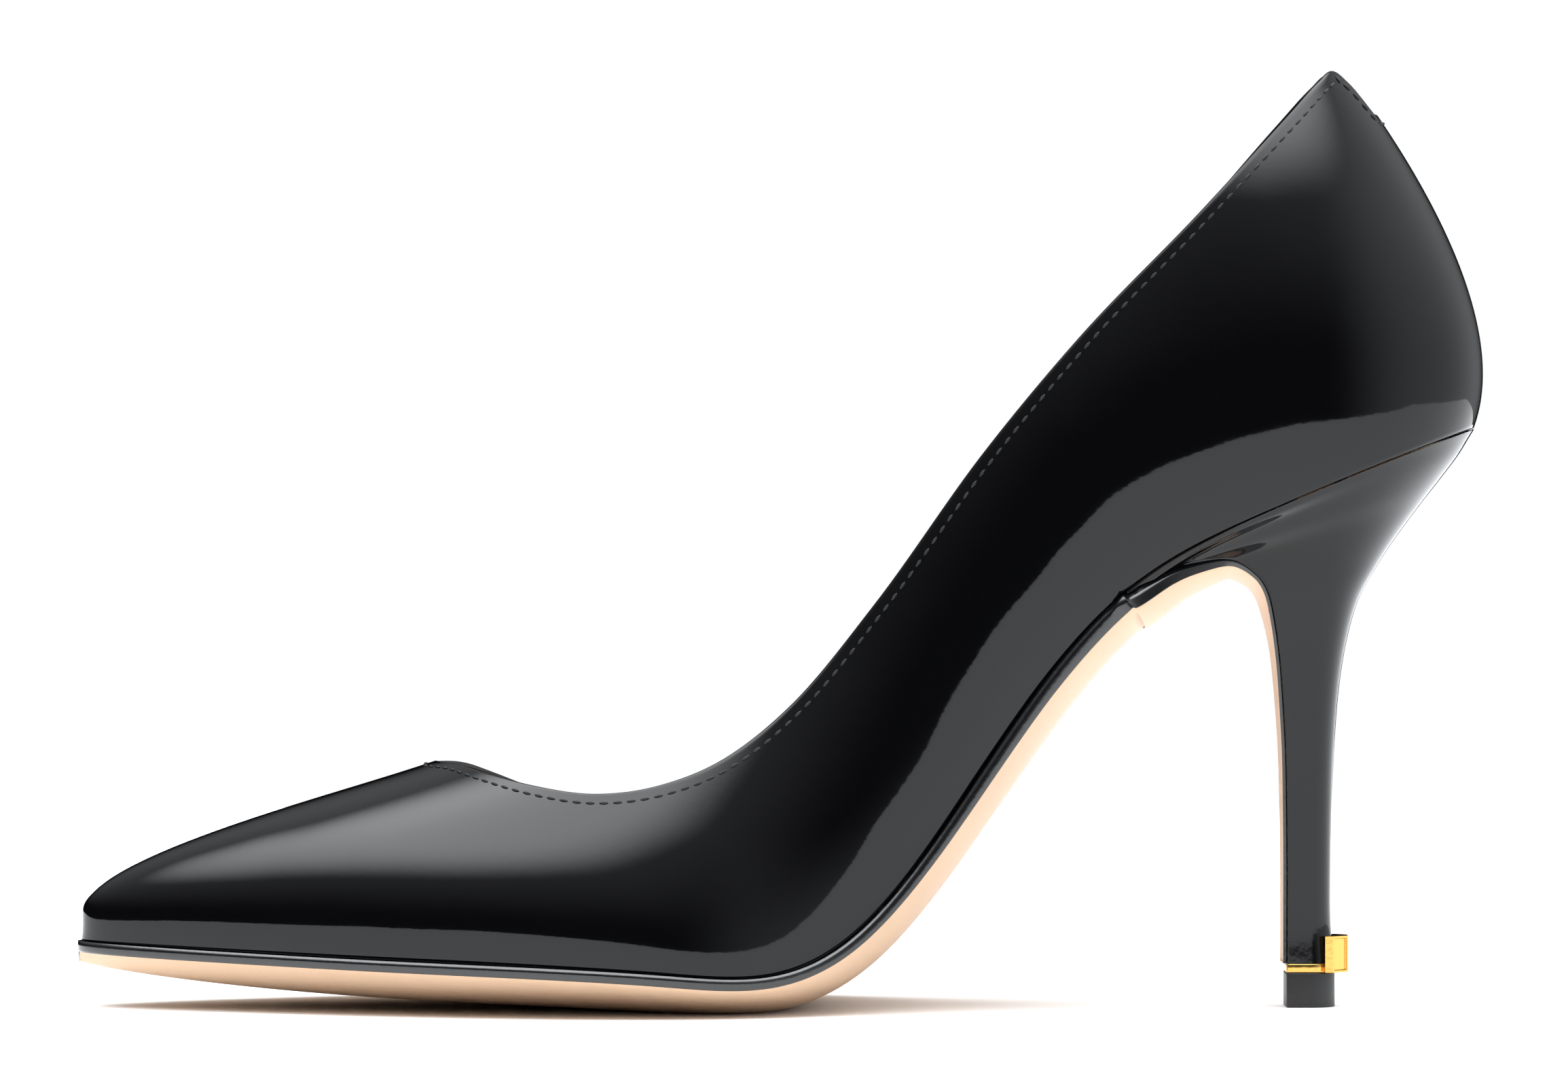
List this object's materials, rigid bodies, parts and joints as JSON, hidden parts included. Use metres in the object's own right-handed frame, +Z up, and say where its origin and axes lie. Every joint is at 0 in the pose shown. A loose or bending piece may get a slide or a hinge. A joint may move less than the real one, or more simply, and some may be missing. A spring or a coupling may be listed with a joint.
{
  "type": "high heel pump",
  "caption": "Pointed-toe stiletto pump with a glossy one-piece upper, a slim wrapped heel, a thin leather sole and a small metal ornament at the heel's foot.",
  "frame": {"origin": "centre of the heel tip's face on the floor", "axes": "-X towards the toe, -Y towards the inner side of the foot, +Z up from the floor"},
  "size_m": [0.2391, 0.0767, 0.1586],
  "materials": {
    "patent_leather": "high gloss",
    "thread": "waxed",
    "lining_leather": "smooth matte",
    "suede": "napped",
    "stiffener": "matte",
    "tape": "woven",
    "fibreboard": "matte",
    "steel": "satin",
    "cork": "granular",
    "foam": "matte",
    "sole_leather": "satin, black painted edge",
    "heel_plastic": "matte",
    "tip_plastic": "matte",
    "gold_metal": "polished"
  },
  "bodies": {
    "root": {"upper": "patent_leather", "topline_thread": "thread", "vamp_lining": "lining_leather", "quarter_lining": "lining_leather", "heel_grip": "suede", "toe_puff": "stiffener", "heel_counter": "stiffener", "topline_tape": "tape", "insole_board": "fibreboard", "steel_shank": "steel", "shank_rivets": "steel", "bottom_filler": "cork", "ball_cushion": "foam", "heel_pad": "foam", "sock_lining": "lining_leather", "outsole": "sole_leather", "heel_core": "heel_plastic", "heel_cover": "patent_leather", "heel_tube": "steel", "heel_tip": "tip_plastic", "heel_tip_pin": "steel", "heel_screw": "steel", "screw_washer": "steel", "heel_nails": "steel", "heel_band": "gold_metal", "heel_plaque": "gold_metal", "plaque_pins": "gold_metal"}
  },
  "joints": []
}
